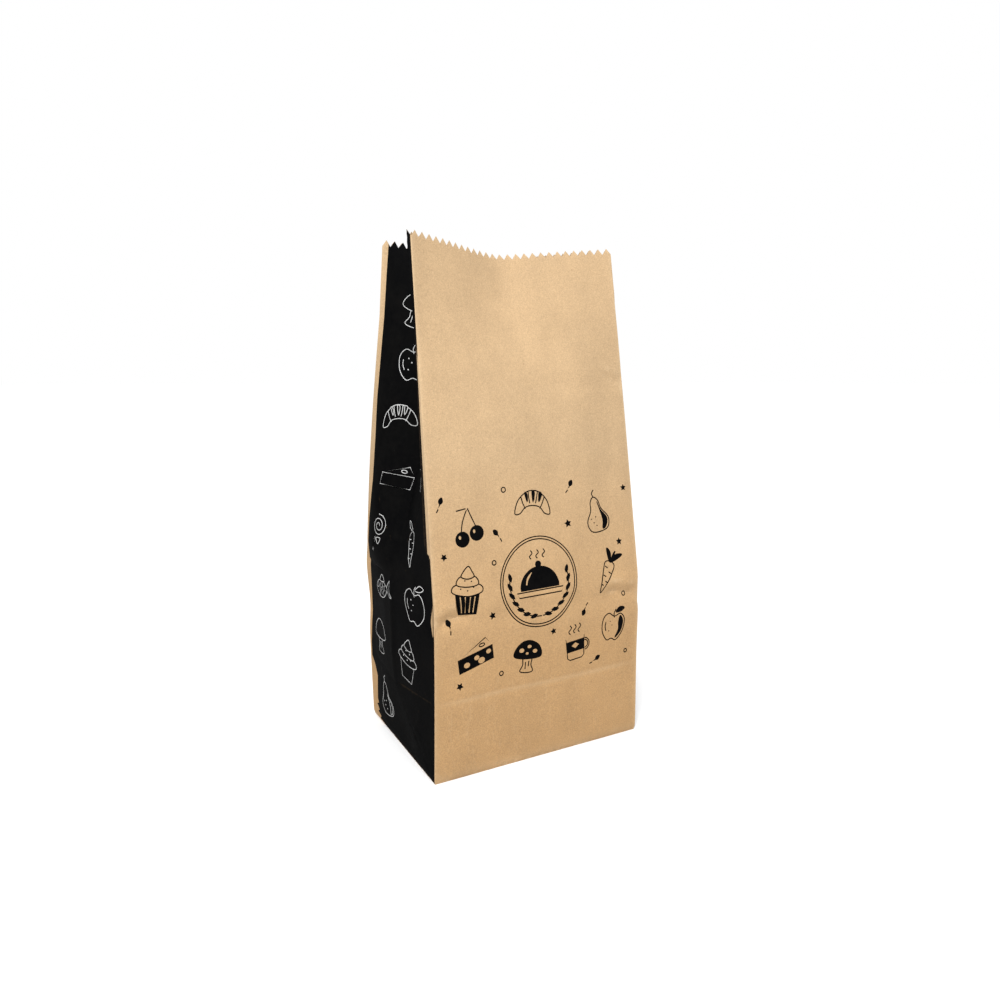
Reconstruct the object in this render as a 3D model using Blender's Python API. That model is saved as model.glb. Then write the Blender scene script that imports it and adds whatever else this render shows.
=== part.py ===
"""A pinked-top paper lunch bag, standing open on its folded block bottom.

One sheet of kraft paper is rolled into a tube with a gusset down each side, and its lower end is
folded into a flat bottom. The bag is one closed thin-walled solid, open at the top.

Frame: +Z up, the front panel faces -Y, the origin is the middle of the bottom on the floor.
Units are metres.
"""

import math

import bmesh
import bpy
import numpy as np

# ---- the sheet -------------------------------------------------------------------------------
PANEL_WIDTH = 0.130        # front and back panel, fold to fold
GUSSET_WIDTH = 0.084       # each side gusset, laid flat
SHEET_HEIGHT = 0.2815      # base edge to the tips of the teeth, along the paper
PAPER = 0.00016            # one thickness of kraft paper
TOOTH_DEPTH = 0.0034       # pinked edge, valley to tip
PANEL_TEETH = 27           # teeth along the front and along the back
GUSSET_TEETH = 18          # teeth along each gusset

# ---- how it stands ---------------------------------------------------------------------------
WAIST = 0.086              # the walls are upright below this, and lean in above it
WAIST_ROUNDING = 0.018
FRONT_LEAN_LEFT = math.radians(9.9)
FRONT_LEAN_RIGHT = math.radians(9.5)
TOP_TUCK = 0.0038          # how far each top corner moves in
BACK_LEAN_IN = 0.008       # how far the back's top edge comes forward
CORNER_OUT = 0.0015        # the right front corner stands out by this at the floor
SIDE_SWELL = 0.0026        # the back folds bow outward by this at half height
MOUTH_DENT_START = 0.190   # the front's top edge is pushed back from here up
MOUTH_DENT = 0.020
MOUTH_DENT_PLACE = 0.53    # across the front, 0 at the left fold and 1 at the right
GUSSET_CREASE = GUSSET_WIDTH / 2
GUSSET_APEX = 0.0385       # where the three base creases of a gusset meet
APEX_OUT = 0.0035          # the apex stands out by this
GUSSET_SWELL = 0.0020      # the gusset bows out further above its apex
GUSSET_POP = 0.112         # above this the gusset folds inward
GUSSET_FOLD_IN = 0.037     # how deep its centre fold lies at the mouth

# ---- the folded bottom -----------------------------------------------------------------------
FLAP_OVERLAP = 0.008       # each bottom flap passes the middle by this
FLAP_TEETH = 10
FLAP_INSET = 0.001         # the back flap's slanted sides start this far inside the corners
EAR_LEDGE = 0.003          # the ears' recess stops this far short of the back flap's edge
BASE_RIM = 0.0015          # the folded lower edge reaches the floor all round, this wide
BASE_LAYERS = 3

# ---- mesh rows, as heights along the paper ---------------------------------------------------
ROW_HEIGHTS = (0.020, GUSSET_CREASE, 0.058, 0.072, WAIST, 0.099, GUSSET_POP,
               0.130, 0.152, 0.176, 0.200, 0.226, 0.252, SHEET_HEIGHT - TOOTH_DEPTH)

KRAFT = (0.62, 0.42, 0.23, 1.0)


def bend(height, start, rounding):
    """0 below start, height - start above it, with a rounded bend between."""
    easing = (height - start + rounding) ** 2 / (4 * rounding)
    upper = np.where(height >= start + rounding, height - start, easing)
    return np.where(height <= start - rounding, 0.0, upper)


def ease(height, low, high):
    t = np.clip((height - low) / (high - low), 0.0, 1.0)
    return t * t * (3 - 2 * t)


def half_wave(height, low, high):
    return np.sin(math.pi * np.clip((height - low) / (high - low), 0.0, 1.0))


def risen(x, y, height):
    """A guide line in space: its rise is what its paper length leaves after its run."""
    run = np.gradient(x, height) ** 2 + np.gradient(y, height) ** 2
    slope = np.sqrt(1 - run)
    steps = 0.5 * (slope[1:] + slope[:-1]) * np.diff(height)
    z = np.concatenate([[0.0], np.cumsum(steps)])
    return np.stack([x, y, z], axis=-1)


def guide_lines():
    """The four folds, the two panel middles and the two gusset middles, by height."""
    height = np.linspace(0.0, SHEET_HEIGHT, 564)
    half_w = PANEL_WIDTH / 2
    half_d = GUSSET_WIDTH / 2
    above = bend(height, WAIST, WAIST_ROUNDING)
    share = above / (SHEET_HEIGHT - WAIST)
    swell = SIDE_SWELL * half_wave(height, 0.0, 0.24)
    tuck = TOP_TUCK * share ** 1.4

    front_left_x = -half_w + tuck
    front_left_y = -half_d + math.sin(FRONT_LEAN_LEFT) * above
    front_right_x = half_w + CORNER_OUT * (1 - ease(height, 0.0, 0.06)) - 0.6 * tuck
    front_right_y = -half_d + math.sin(FRONT_LEAN_RIGHT) * above
    back_x = half_w + swell - 1.2 * tuck
    back_y = half_d + swell - BACK_LEAN_IN * share ** 1.3

    place = MOUTH_DENT_PLACE
    dent = MOUTH_DENT * bend(height, MOUTH_DENT_START, 0.03) / (SHEET_HEIGHT - MOUTH_DENT_START)
    front_x = front_left_x * (1 - place) + front_right_x * place
    front_y = front_left_y * (1 - place) + front_right_y * place + dent
    back_bow = 0.003 * half_wave(height, 0.0, 0.2) - 0.006 * bend(height, 0.2, 0.02) / 0.08

    apex_out = APEX_OUT * np.clip(height / GUSSET_APEX, 0.0, 1.0)
    swollen = apex_out + GUSSET_SWELL * half_wave(height, GUSSET_APEX, GUSSET_POP)
    popped = APEX_OUT * ease(height, WAIST, GUSSET_POP + 0.01)
    folded = np.clip((height - GUSSET_POP) / (SHEET_HEIGHT - GUSSET_POP), 0.0, 1.0)
    inward = popped - swollen + GUSSET_FOLD_IN * folded ** 0.8

    lines = {
        "front_left": risen(front_left_x, front_left_y, height),
        "front_middle": risen(front_x, front_y, height),
        "front_right": risen(front_right_x, front_right_y, height),
        "back_right": risen(back_x, back_y, height),
        "back_middle": risen(0.0 * height, back_y + back_bow, height),
        "back_left": risen(-back_x, back_y, height),
        "gusset_right": risen((front_right_x + back_x) / 2 - inward,
                              (front_right_y + back_y) / 2, height),
        "gusset_left": risen((front_left_x - back_x) / 2 + inward,
                             (front_left_y + back_y) / 2, height),
    }
    return height, lines


HEIGHTS, LINES = guide_lines()


def on_line(name, height):
    return np.array([np.interp(height, HEIGHTS, LINES[name][:, axis]) for axis in range(3)])


def panel_point(start, middle, end, t, place):
    """A point across a panel: straight between its folds, but pulled towards its middle line."""
    straight = start * (1 - t) + end * t
    offset = middle - (start * (1 - place) + end * place)
    rise = t / place if t < place else (1 - t) / (1 - place)
    return straight + offset * math.sin(math.pi / 2 * rise) ** 1.3


def gusset_point(start, middle, end, t, height):
    """A point across a gusset: creased flat facets at the foot, two bowed halves above them."""
    straight = start * (1 - t) + end * t
    offset = middle - (start + end) / 2
    side = 1 - abs(2 * t - 1)
    if height < GUSSET_CREASE:
        apex = middle - (start + end) / 2
        level = max(height / GUSSET_APEX, 1e-9)
        return straight + apex * min(side, level) / min(1.0, level)
    outer = start if t < 0.5 else end
    chord = np.linalg.norm((middle - outer)[:2])
    slack = max(0.0, GUSSET_WIDTH / 2 - chord)
    bow = math.sqrt(0.375 * chord * slack)
    along = (middle - outer)[:2] / chord
    outward = np.array([along[1], -along[0]]) if outer is start else np.array([-along[1], along[0]])
    point = straight + offset * side
    point[:2] += outward * bow * 4 * side * (1 - side)
    return point


def sheet_ring(height, teeth_offset=0.0):
    """One ring of points round the tube at a height, a point for every tooth boundary."""
    front = (on_line("front_left", height), on_line("front_middle", height),
             on_line("front_right", height))
    back = (on_line("back_right", height), on_line("back_middle", height),
            on_line("back_left", height))
    right = on_line("gusset_right", height)
    left = on_line("gusset_left", height)
    ring = []
    for tooth in range(PANEL_TEETH):
        t = (tooth + teeth_offset) / PANEL_TEETH
        ring.append(panel_point(*front, t, MOUTH_DENT_PLACE))
    for tooth in range(GUSSET_TEETH):
        t = (tooth + teeth_offset) / GUSSET_TEETH
        ring.append(gusset_point(front[2], right, back[0], t, height))
    for tooth in range(PANEL_TEETH):
        t = (tooth + teeth_offset) / PANEL_TEETH
        ring.append(panel_point(*back, t, 0.5))
    for tooth in range(GUSSET_TEETH):
        t = (tooth + teeth_offset) / GUSSET_TEETH
        ring.append(gusset_point(back[2], left, front[0], t, height))
    return ring


def paper_material():
    material = bpy.data.materials.new("kraft_paper")
    material.use_nodes = True
    shader = material.node_tree.nodes["Principled BSDF"]
    shader.inputs["Base Color"].default_value = KRAFT
    shader.inputs["Roughness"].default_value = 0.8
    shader.inputs["Metallic"].default_value = 0.0
    return material


def add_object(name, mesh):
    thing = bpy.data.objects.new(name, mesh)
    bpy.context.scene.collection.objects.link(thing)
    return thing


def fan(bm, start, end, upper):
    """Joins one straight base edge to the many points above it."""
    middle = len(upper) // 2
    for k in range(len(upper) - 1):
        corner = start if k < middle else end
        bm.faces.new((corner, upper[k + 1], upper[k]))
    bm.faces.new((start, end, upper[middle]))


def outer_skin():
    """The outside of the bag: tube, teeth and a flat base face, wound to face out."""
    mesh = bpy.data.meshes.new("paper_bag")
    bm = bmesh.new()
    corner_names = ("front_left", "front_right", "back_right", "back_left")
    corners = [bm.verts.new(on_line(name, 0.0)) for name in corner_names]
    rings = [[bm.verts.new(point) for point in sheet_ring(height)] for height in ROW_HEIGHTS]
    tips = [bm.verts.new(point) for point in sheet_ring(SHEET_HEIGHT, 0.5)]
    count = len(tips)
    bm.faces.new(list(reversed(corners)))
    first = 0
    for side, teeth in enumerate((PANEL_TEETH, GUSSET_TEETH, PANEL_TEETH, GUSSET_TEETH)):
        span = [rings[0][(first + k) % count] for k in range(teeth + 1)]
        fan(bm, corners[side], corners[(side + 1) % 4], span)
        first += teeth
    for lower, upper in zip(rings, rings[1:]):
        for i in range(count):
            j = (i + 1) % count
            bm.faces.new((lower[i], lower[j], upper[j], upper[i]))
    for i in range(count):
        bm.faces.new((rings[-1][i], rings[-1][(i + 1) % count], tips[i]))
    bm.normal_update()
    bm.to_mesh(mesh)
    bm.free()
    return add_object("paper_bag", mesh)


def thicken(bag):
    """Gives the walls one thickness inward, and the base its folded layers."""
    bpy.ops.object.select_all(action="DESELECT")
    bpy.context.view_layer.objects.active = bag
    bag.select_set(True)
    wall = bag.modifiers.new("paper", "SOLIDIFY")
    wall.thickness = PAPER
    wall.offset = -1
    wall.use_even_offset = True
    bpy.ops.object.modifier_apply(modifier=wall.name)
    for vertex in bag.data.vertices:
        if 0.2 * PAPER < vertex.co.z < 4 * PAPER:
            vertex.co.z = BASE_LAYERS * PAPER


def prism(name, outline, bottom, top):
    """A closed upright prism over a flat outline, used only to cut."""
    mesh = bpy.data.meshes.new(name)
    bm = bmesh.new()
    low = [bm.verts.new((x, y, bottom)) for x, y in outline]
    floor = bm.faces.new(low)
    lifted = bmesh.ops.extrude_face_region(bm, geom=[floor])
    raised = [item for item in lifted["geom"] if isinstance(item, bmesh.types.BMVert)]
    bmesh.ops.translate(bm, verts=raised, vec=(0, 0, top - bottom))
    bmesh.ops.recalc_face_normals(bm, faces=bm.faces)
    bm.to_mesh(mesh)
    bm.free()
    cutter = add_object(name, mesh)
    cutter.hide_render = True
    cutter.display_type = "WIRE"
    return cutter


def flap_edge():
    """The back flap's pinked free edge, right to left."""
    half = (PANEL_WIDTH - GUSSET_WIDTH) / 2 - FLAP_INSET
    pitch = 2 * half / FLAP_TEETH
    points = []
    for tooth in range(FLAP_TEETH):
        x = half - tooth * pitch
        points.append((x, -FLAP_OVERLAP + TOOTH_DEPTH))
        points.append((x - pitch / 2, -FLAP_OVERLAP))
    points.append((-half, -FLAP_OVERLAP + TOOTH_DEPTH))
    return points


def cut_base_layers(bag):
    """The back flap lies lowest, the front flap one layer up and the side ears two layers up."""
    half_w = PANEL_WIDTH / 2
    half_d = GUSSET_WIDTH / 2
    middle = half_w - half_d
    below = -0.001
    wide = half_w - BASE_RIM
    deep = half_d - BASE_RIM
    slant = wide - FLAP_INSET
    around_flap = [(-slant, deep), (-wide, deep), (-wide, -deep), (wide, -deep), (wide, deep),
                   (slant, deep), (middle - FLAP_INSET, 0.0)]
    around_flap += flap_edge() + [(FLAP_INSET - middle, 0.0)]
    cutters = [prism("above_back_flap", around_flap, below, PAPER)]
    for name, side in (("ear_left", -1), ("ear_right", 1)):
        reach = half_d - EAR_LEDGE - 2 * BASE_RIM
        tip = (side * (middle + EAR_LEDGE), 0.0)
        outer = side * (middle + EAR_LEDGE + reach)
        cutters.append(prism(name, [tip, (outer, -reach), (outer, reach)], below, 2 * PAPER))
    for cutter in cutters:
        cut = bag.modifiers.new(cutter.name, "BOOLEAN")
        cut.operation = "DIFFERENCE"
        cut.solver = "EXACT"
        cut.object = cutter


def build():
    for thing in list(bpy.data.objects):
        bpy.data.objects.remove(thing, do_unlink=True)
    bag = outer_skin()
    bag.data.materials.append(paper_material())
    thicken(bag)
    cut_base_layers(bag)


build()
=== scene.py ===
"""The looks of a brown paper lunch bag: one printed kraft sheet, folded, standing open.

The sheet is drawn flat, in millimetres, panel by panel: its pinked outline, its creases and its print.
Each flat panel is then laid onto the bag's standing form, so folds, print and dents stay one surface.
"""

import math

import bmesh
import bpy
import numpy as np
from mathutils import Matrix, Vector, kdtree, noise
from mathutils.geometry import delaunay_2d_cdt


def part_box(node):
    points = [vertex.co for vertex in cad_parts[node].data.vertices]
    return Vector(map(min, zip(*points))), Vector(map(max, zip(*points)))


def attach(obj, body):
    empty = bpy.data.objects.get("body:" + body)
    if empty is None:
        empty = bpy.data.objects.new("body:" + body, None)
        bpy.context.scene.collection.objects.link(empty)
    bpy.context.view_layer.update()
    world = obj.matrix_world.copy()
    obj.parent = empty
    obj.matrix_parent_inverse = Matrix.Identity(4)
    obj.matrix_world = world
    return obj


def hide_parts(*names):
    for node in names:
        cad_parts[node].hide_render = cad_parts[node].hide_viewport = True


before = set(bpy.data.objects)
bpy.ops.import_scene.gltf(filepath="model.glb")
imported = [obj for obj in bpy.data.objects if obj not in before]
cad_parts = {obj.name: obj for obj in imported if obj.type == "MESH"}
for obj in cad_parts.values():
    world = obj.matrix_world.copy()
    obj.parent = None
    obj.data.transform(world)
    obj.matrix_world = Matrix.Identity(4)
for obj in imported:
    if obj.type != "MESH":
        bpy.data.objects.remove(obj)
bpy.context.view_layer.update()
NODE = "paper_bag"
FLOOR_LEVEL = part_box(NODE)[0].z

# ---- the sheet, in metres --------------------------------------------------------------------
PANEL_WIDTH = 0.130
GUSSET_WIDTH = 0.084
SHEET_HEIGHT = 0.2815
PAPER = 0.00016
TOOTH_DEPTH = 0.0034
PANEL_TEETH = 27
GUSSET_TEETH = 18

# ---- how it stands, in metres ----------------------------------------------------------------
WAIST = 0.086
WAIST_ROUNDING = 0.010
FRONT_LEAN_LEFT = math.radians(9.9)
FRONT_LEAN_RIGHT = math.radians(9.5)
TOP_TUCK = 0.0038
LEFT_TUCK_SHARE = 0.72
BACK_SLUMP = 0.0052        # the middle of the back's top edge hangs this much lower
FRONT_BULGE = 0.0056       # the left gusset stands out beside the front fold at the mouth
FRONT_BULGE_PLACE = 0.13   # how far across the front half it stands out most
BACK_LEAN_IN = 0.008
BACK_SWELL = 0.003         # the back panel swells low down
BACK_HOLLOW = 0.006        # and is hollow at the mouth
CORNER_OUT = 0.0015
SIDE_SWELL = 0.0026
MOUTH_DENT_START = 0.190
MOUTH_DENT = 0.0185
MOUTH_DENT_PLACE = 0.49
MOUTH_KINK = 0.96          # how much of the mouth's dent is a crease instead of a curve
KINK_HEIGHTS = (0.185, 0.255)  # from where the crease begins to where it is full
KINK_TIP = 0.07            # how rounded the crease is, as a share of the half panel
BULGE_HEIGHTS = (0.180, 0.272)
GUSSET_CREASE = GUSSET_WIDTH / 2
GUSSET_APEX = 0.0385
APEX_OUT = 0.0035
GUSSET_SWELL = 0.0020
GUSSET_POP = 0.112
GUSSET_FOLD_IN = 0.037
FOOT_TURN = 0.003          # the lowest few millimetres turn in towards the bottom
FOOT_TUCK = 0.009          # by this share of the bag's width and depth
BASE_LIFT = 2 * PAPER      # the side ears lie above the two flaps

# small knocks in the fold lines: fold, height, reach, sideways push, push along y
FOLD_KNOCKS = (
    ("front_left", 0.084, 0.0050, 0.0011, 0.0006),
    ("front_left", 0.150, 0.0090, 0.0004, 0.0000),
    ("front_right", 0.083, 0.0060, -0.0012, 0.0006),
    ("front_right", 0.203, 0.0050, -0.0012, 0.0005),
    ("front_right", 0.246, 0.0080, -0.0004, 0.0000),
    ("back_left", 0.070, 0.0120, 0.0010, 0.0000),
    ("back_left", 0.096, 0.0090, -0.0006, 0.0000),
    ("back_right", 0.092, 0.0090, -0.0010, 0.0000),
)

# ---- the mesh, in millimetres ----------------------------------------------------------------
MM = 0.001
GRID = 2.1
CLEAR_OF_LINES = 0.75
SIDE_ROWS = 132
SEAM_GAP = 3e-5            # in metres; edge points closer than this are one point
SIDE_BOW = 0.004           # a share of the bottom's half width and half depth
BOTTOM_GRID = 2.6
BOTTOM_RIM = 1.2           # the flaps and the ears' folds keep this far from the bottom's edge
CLEAR_OF_EARS = 1.4

# ---- the print -------------------------------------------------------------------------------
KRAFT, BLACK, WHITE, INSIDE = range(4)
LINE = {BLACK: 0.66, WHITE: 0.37}     # the width of a drawn line
# the edge of the bare paper beside a back fold: distance from the fold, height
BARE_EDGE = ((3.6, 284), (3.4, 262), (3.6, 240), (6.0, 195), (9.0, 171), (10.6, 148), (9.2, 125),
             (8.2, 99), (5.2, 67), (2.4, 46), (2.2, 38), (7.5, 34.5), (12.4, 29), (11.4, 15),
             (13.0, 12.6), (9.8, 10.6), (13.4, 8.4), (10.8, 6.4), (15.0, 4.8), (12.8, 2.6), (17.0, 1.2))
FOLD_MARGIN = 0.35         # bare paper beside a front fold
DOT = 0.42                 # a printed dot's radius
CLEAR_OF_EDGE = 0.25       # print stays this far inside a panel's folds
CLEAR_OF_FOOT = 0.30       # and this far above its foot
CREASE_INSET = 0.5         # a crease ends this far inside a panel's folds


# ================================================================================================
# The standing form
# ================================================================================================

def bend(height, start, rounding):
    """0 below start, height - start above it, with a rounded bend between."""
    easing = (height - start + rounding) ** 2 / (4 * rounding)
    upper = np.where(height >= start + rounding, height - start, easing)
    return np.where(height <= start - rounding, 0.0, upper)


def ease(value, low, high):
    t = np.clip((value - low) / (high - low), 0.0, 1.0)
    return t * t * (3 - 2 * t)


def half_wave(height, low, high):
    return np.sin(math.pi * np.clip((height - low) / (high - low), 0.0, 1.0))


def risen(x, y, height):
    """A guide line in space: its rise is what its paper length leaves after its run."""
    run = np.gradient(x, height) ** 2 + np.gradient(y, height) ** 2
    slope = np.sqrt(np.maximum(1 - run, 0.25))
    steps = 0.5 * (slope[1:] + slope[:-1]) * np.diff(height)
    z = np.concatenate([[0.0], np.cumsum(steps)])
    return np.stack([x, y, z], axis=-1)


def knocked(name, x, y, height):
    """A fold line with its small knocks."""
    for fold, level, reach, push_x, push_y in FOLD_KNOCKS:
        if fold == name:
            bump = np.exp(-((height - level) / reach) ** 2)
            x = x + push_x * bump
            y = y + push_y * bump
    return x, y


def guide_lines():
    """The four folds, the two panel middles and the two gusset middles, by height."""
    height = np.linspace(0.0, SHEET_HEIGHT, 1127)
    half_w = PANEL_WIDTH / 2
    half_d = GUSSET_WIDTH / 2
    above = bend(height, WAIST, WAIST_ROUNDING)
    share = above / (SHEET_HEIGHT - WAIST)
    swell = SIDE_SWELL * half_wave(height, 0.0, 0.24)
    tuck = TOP_TUCK * share ** 1.4

    back_x = half_w + swell - 1.2 * tuck
    back_y = half_d + swell - BACK_LEAN_IN * share ** 1.3
    folds = {
        "front_left": (LEFT_TUCK_SHARE * tuck - half_w, math.sin(FRONT_LEAN_LEFT) * above - half_d),
        "front_right": (half_w + CORNER_OUT * (1 - ease(height, 0.0, 0.06)) - 0.6 * tuck,
                        math.sin(FRONT_LEAN_RIGHT) * above - half_d),
        "back_right": (back_x, back_y),
        "back_left": (-back_x, back_y),
    }
    folds = {name: knocked(name, x, y, height) for name, (x, y) in folds.items()}
    lines = {name: risen(x, y, height) for name, (x, y) in folds.items()}

    place = MOUTH_DENT_PLACE
    dent = MOUTH_DENT * bend(height, MOUTH_DENT_START, 0.03) / (SHEET_HEIGHT - MOUTH_DENT_START)
    (left_x, left_y), (right_x, right_y) = folds["front_left"], folds["front_right"]
    lines["front_middle"] = risen(left_x * (1 - place) + right_x * place,
                                  left_y * (1 - place) + right_y * place + dent, height)
    back_bow = (BACK_SWELL * half_wave(height, 0.0, 0.2)
                - BACK_HOLLOW * bend(height, 0.2, 0.02) / 0.08)
    lines["back_middle"] = risen(0.0 * height, back_y + back_bow, height)
    lines["back_middle"][:, 2] -= BACK_SLUMP * ease(height, 0.20, 0.28)

    apex_out = APEX_OUT * np.clip(height / GUSSET_APEX, 0.0, 1.0)
    swollen = apex_out + GUSSET_SWELL * half_wave(height, GUSSET_APEX, GUSSET_POP)
    popped = APEX_OUT * ease(height, WAIST, GUSSET_POP + 0.01)
    folded = np.clip((height - GUSSET_POP) / (SHEET_HEIGHT - GUSSET_POP), 0.0, 1.0)
    inward = popped - swollen + GUSSET_FOLD_IN * folded ** 0.8
    for side, inner in (("left", 1), ("right", -1)):
        front_x, front_y = folds["front_" + side]
        rear_x, rear_y = folds["back_" + side]
        lines["gusset_" + side] = risen((front_x + rear_x) / 2 + inner * inward,
                                        (front_y + rear_y) / 2, height)
    return height, lines


HEIGHTS, LINES = guide_lines()


def on_line(name, height):
    line = LINES[name]
    return np.stack([np.interp(height, HEIGHTS, line[:, axis]) for axis in range(3)], axis=-1)


def column(values):
    return np.asarray(values)[:, None]


def panel_form(names, place, kink):
    """The form of a front or back panel, from its left fold, middle line and right fold.

    place is where the middle line stands across the panel, and kink how much of a crease it is.
    """
    def form(t, height):
        start, middle, end = (on_line(name, height) for name in names)
        offset = middle - (start * (1 - place) + end * place)
        rise = np.where(t < place, t / place, (1 - t) / (1 - place))
        curved = np.sin(np.clip(rise, 0, 1) * math.pi / 2) ** 1.3
        edge = math.hypot(1, KINK_TIP)
        creased = (edge - np.hypot(1 - rise, KINK_TIP)) / (edge - KINK_TIP)
        weight = kink * ease(height, *KINK_HEIGHTS)
        pull = curved * (1 - weight) + creased * weight
        return start * column(1 - t) + end * column(t) + offset * column(pull)
    return form


def gusset_form(names, front_first, stand_out):
    """The form of a gusset: flat creased facets at the foot, two halves above them.

    Its back half bows, as its paper is longer than the gap. Its front half is straight, and
    stands out (by the share stand_out) close beside the front fold at the mouth.
    """
    def form(t, height):
        start, middle, end = (on_line(name, height) for name in names)
        straight = start * column(1 - t) + end * column(t)
        offset = middle - (start + end) / 2
        side = 1 - np.abs(2 * t - 1)
        level = np.maximum(height / GUSSET_APEX, 1e-6)
        faceted = straight + offset * column(np.minimum(side, level) / np.minimum(1.0, level))
        outer = np.where(column(t < 0.5), start, end)
        reach = (middle - outer)[:, :2]
        chord = np.linalg.norm(reach, axis=1)
        slack = np.maximum(0.0, GUSSET_WIDTH / 2 - chord)
        bow = np.sqrt(3 / 8 * chord * slack)
        turn = np.where(t < 0.5, 1.0, -1.0)
        outward = np.stack([reach[:, 1], -reach[:, 0]], axis=-1) * column(turn / chord)
        bowed = straight + offset * column(side)
        beside_front = (t < 0.5) == front_first
        bow = np.where(beside_front, 0.0, bow)
        bowed[:, :2] += outward * column(bow * 4 * side * (1 - side))
        early = side / FRONT_BULGE_PLACE
        bulge = FRONT_BULGE * early * np.exp(1 - early) * (1 - side) * ease(height, *BULGE_HEIGHTS)
        bowed[:, 0] -= stand_out * np.where(beside_front, bulge, 0.0)
        return np.where(column(height < GUSSET_CREASE), faceted, bowed)
    return form


# ================================================================================================
# Drawing on the flat sheet, in millimetres
# ================================================================================================

def ellipse(cx, cy, rx, ry, start=0.0, end=360.0, count=20):
    """A round or a stretch of one; a full turn leaves out its repeated last point."""
    full = abs(end - start) >= 360
    angles = np.radians(np.linspace(start, end, count, endpoint=not full))
    return [(cx + rx * math.cos(a), cy + ry * math.sin(a)) for a in angles]


def curve(points, closed=False, count=4):
    """A smooth line through a few points."""
    n = len(points)
    spans = n if closed else n - 1
    smooth = []
    for i in range(spans):
        if closed:
            four = [points[(i + k) % n] for k in (-1, 0, 1, 2)]
        else:
            four = [points[min(max(i + k, 0), n - 1)] for k in (-1, 0, 1, 2)]
        a, b, c, d = (np.array(point, float) for point in four)
        for step in range(count):
            t = step / count
            smooth.append(tuple(0.5 * (2 * b + (c - a) * t + (2 * a - 5 * b + 4 * c - d) * t ** 2
                                       + (3 * b - a - 3 * c + d) * t ** 3)))
    if not closed:
        smooth.append(tuple(points[-1]))
    return smooth


def blob(*points):
    return curve(points, closed=True)


def solid(loop):
    return ("solid", loop)


def bare(loop):
    return ("bare", loop)


def stroke(points):
    return ("stroke", points)


def dots(*centres):
    return [("dot", ellipse(x, y, DOT, DOT, count=7)) for x, y in centres]


def apple():
    body = blob((0, 7), (5, 9), (9, 5), (8.5, -3), (4, -9), (0, -8), (-4, -9), (-8.5, -3), (-9, 5),
                (-5, 9))
    shade = blob((3, -7.5), (7, -3), (7.8, 3.5), (5, 7.5), (4.2, 3), (5, -2))
    leaf = blob((0.8, 10), (4, 13.5), (8, 13), (5, 10.5))
    return [bare(body), solid(shade), stroke(curve([(0, 6), (-0.6, 9), (0.8, 12)])), solid(leaf),
            stroke(curve([(-6.5, 3), (-6.6, 0), (-5.5, -3)]))] + dots((-3, -3), (-1, 1), (-3, 3.5))


def cupcake():
    cup = [(-7, -1), (7, -1), (5, -11), (-5, -11)]
    low = blob((-8.5, 0), (-8, 3.5), (0, 5.2), (8, 3.5), (8.5, 0), (0, -1.8))
    mid = blob((-6.4, 4), (-5, 7.6), (0, 8.6), (5, 7.6), (6.4, 4), (0, 2.8))
    top = blob((-3.8, 8), (-2.2, 11), (0.4, 13.2), (2.4, 10.8), (3.8, 8), (0, 6.8))
    pleats = [("cut", [(x - 0.3, -2), (x + 0.3, -2), (x * 0.74 + 0.3, -10.2), (x * 0.74 - 0.3, -10.2)])
              for x in (-4.4, -1.5, 1.5, 4.4)]
    return ([solid(cup)] + pleats + [bare(low), bare(mid), bare(top)]
            + dots((-4, 2), (0, 1), (3.6, 2.6), (-1.6, 6), (2.2, 5.6)))


def carrot():
    root = blob((-3.4, 6), (0, 7.4), (3.4, 6), (3.2, 1), (1.6, -7), (0, -12), (-1.6, -7), (-3.2, 1))
    leaves = [solid(blob((0, 6.8), (x, 10), (x * 1.7, 14), (x * 0.5, 12))) for x in (-3, 0.9, 4)]
    rings = [stroke([(a, y), (b, y - 0.5)]) for a, b, y in
             ((-2.9, -0.6, 3.6), (0.6, 2.8, 1.2), (-2.3, -0.2, -1.6), (0.2, 1.9, -4.6), (-1.2, 0, -7))]
    return [bare(root)] + leaves + rings


def cheese():
    top = [(-11, -1), (7, 7), (11, 1.5)]
    side = [(-11, -1), (11, 1.5), (11, -6), (-11, -8.5)]
    holes = [bare(ellipse(x, y, r, r * 0.8, count=12)) for x, y, r in
             ((-6, -4.9, 1.5), (0.4, -2.6, 1.3), (3.2, -5, 1.8), (8.2, -1.4, 1.2))]
    return [bare(top), solid(side)] + holes + [stroke(ellipse(4.4, 3.6, 1.8, 0.9, count=12)
                                                      + [(6.2, 3.6)])]


def mushroom():
    cap = blob((-10, 0), (-8.6, 5), (-4, 9), (2, 9.4), (8, 6), (10, 0), (5, -1.8), (-5, -1.8))
    stem = blob((-3, -1), (3, -1), (3, -6), (4.6, -10), (0, -11), (-4.6, -10), (-3, -6))
    spots = [("cut", ellipse(x, y, a, b, count=12)) for x, y, a, b in
             ((-4.8, 3.4, 1.8, 1.4), (0.6, 5.8, 1.5, 1.1), (5, 2.8, 1.7, 1.3), (-0.6, 1.4, 1.1, 0.8))]
    return [bare(stem), solid(cap)] + spots + [stroke([(-1.2, -4), (-1, -8.6)]),
                                               stroke([(1.2, -3.4), (1.1, -7)])]


def cherries():
    pair = []
    for x, y in ((-4.6, -5.4), (5.2, -3.6)):
        pair += [solid(ellipse(x, y, 4.3, 4.1, count=20)),
                 ("cut", ellipse(x - 1.5, y + 1.3, 0.8, 1.1, count=8)),
                 stroke(curve([(x, y + 4), (x * 0.62, y + 9.6), (1.4, 11.5)]))]
    leaf = blob((1.4, 11.5), (-3, 13.2), (-8, 11), (-4, 8.8))
    return pair + [bare(leaf), stroke([(0.4, 11.2), (-6, 10.9)])]


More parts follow.
